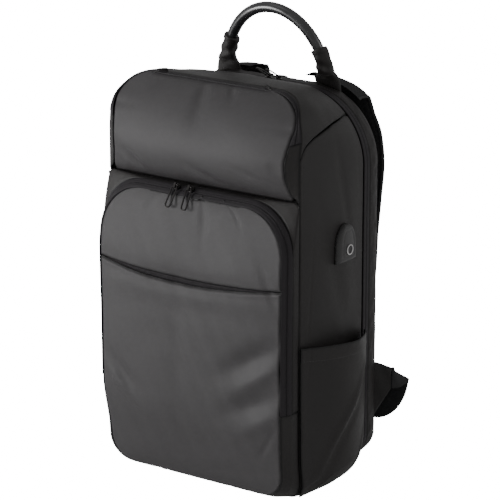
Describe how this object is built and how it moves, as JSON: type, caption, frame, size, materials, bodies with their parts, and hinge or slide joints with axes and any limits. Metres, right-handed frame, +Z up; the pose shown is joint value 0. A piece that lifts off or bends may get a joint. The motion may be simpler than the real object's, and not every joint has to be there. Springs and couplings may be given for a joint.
{
  "type": "laptop backpack",
  "caption": "Upright laptop backpack, zipped shut, with front pockets, side pockets, padded straps and a tube handle.",
  "frame": {"origin": "middle of the bounding box at the ground", "axes": "+Z up, +X to the backpack's left when it is worn, the front faces -Y"},
  "size_m": [0.3194, 0.2152, 0.5302],
  "materials": {
    "front_cloth": "matte coated cloth",
    "shell_cloth": "matte coated cloth",
    "zipper_tape": "coated zipper tape",
    "air_mesh": "padded spacer mesh",
    "webbing": "woven webbing",
    "port_rubber": "satin rubber",
    "mark_ring": "pale print",
    "grip_tube": "satin tube",
    "lock_plastic": "moulded",
    "dark_metal": "dark plated"
  },
  "bodies": {
    "bag": {"side_panel_left": "shell_cloth", "side_panel_right": "shell_cloth", "top_panel": "shell_cloth", "main_zipper": "zipper_tape", "rear_strip": "shell_cloth", "base_panel": "shell_cloth", "back_panel": "air_mesh", "partition": "shell_cloth", "front_pocket_zipper": "zipper_tape", "front_pocket_gusset": "shell_cloth", "front_pocket_foot": "shell_cloth", "front_panel_lower": "front_cloth", "front_panel_upper": "front_cloth", "slit_zipper": "zipper_tape", "upper_panel": "front_cloth", "upper_pocket_zipper": "zipper_tape", "upper_gusset_left": "shell_cloth", "upper_gusset_right": "shell_cloth", "side_pocket_left": "shell_cloth", "side_pocket_right": "shell_cloth", "port_cover": "port_rubber", "port_ring": "mark_ring", "handle_grip": "grip_tube", "handle_sleeve_right": "shell_cloth", "handle_sleeve_left": "shell_cloth", "shoulder_strap_left": "air_mesh", "shoulder_strap_right": "air_mesh", "ladder_lock_right": "lock_plastic", "ladder_lock_left": "lock_plastic", "lock_loop_right": "webbing", "lock_loop_left": "webbing", "strap_wing_right": "shell_cloth", "strap_wing_left": "shell_cloth", "strap_webbing_right": "webbing", "strap_webbing_left": "webbing", "front_left_slider": "dark_metal", "front_right_slider": "dark_metal", "top_left_slider": "dark_metal", "top_right_slider": "dark_metal"},
    "front_left_ring": {"front_left_pull": "dark_metal"},
    "front_right_ring": {"front_right_pull": "dark_metal"},
    "top_left_ring": {"top_left_pull": "dark_metal"},
    "top_right_ring": {"top_right_pull": "dark_metal"}
  },
  "joints": [
    {"name": "front_left_swing", "type": "hinge", "parent": "bag", "child": "front_left_ring", "pos_m": [-0.025, -0.09109, 0.34651], "axis": [-1, 0, 0], "range_deg": [0, 105]},
    {"name": "front_right_swing", "type": "hinge", "parent": "bag", "child": "front_right_ring", "pos_m": [-0.006, -0.09109, 0.34651], "axis": [-1, 0, 0], "range_deg": [0, 105]},
    {"name": "top_left_swing", "type": "hinge", "parent": "bag", "child": "top_left_ring", "pos_m": [0.001, 0.05098, 0.44703], "axis": [-1, 0, 0], "range_deg": [0, 150]},
    {"name": "top_right_swing", "type": "hinge", "parent": "bag", "child": "top_right_ring", "pos_m": [0.014, 0.05098, 0.44703], "axis": [-1, 0, 0], "range_deg": [0, 150]}
  ]
}
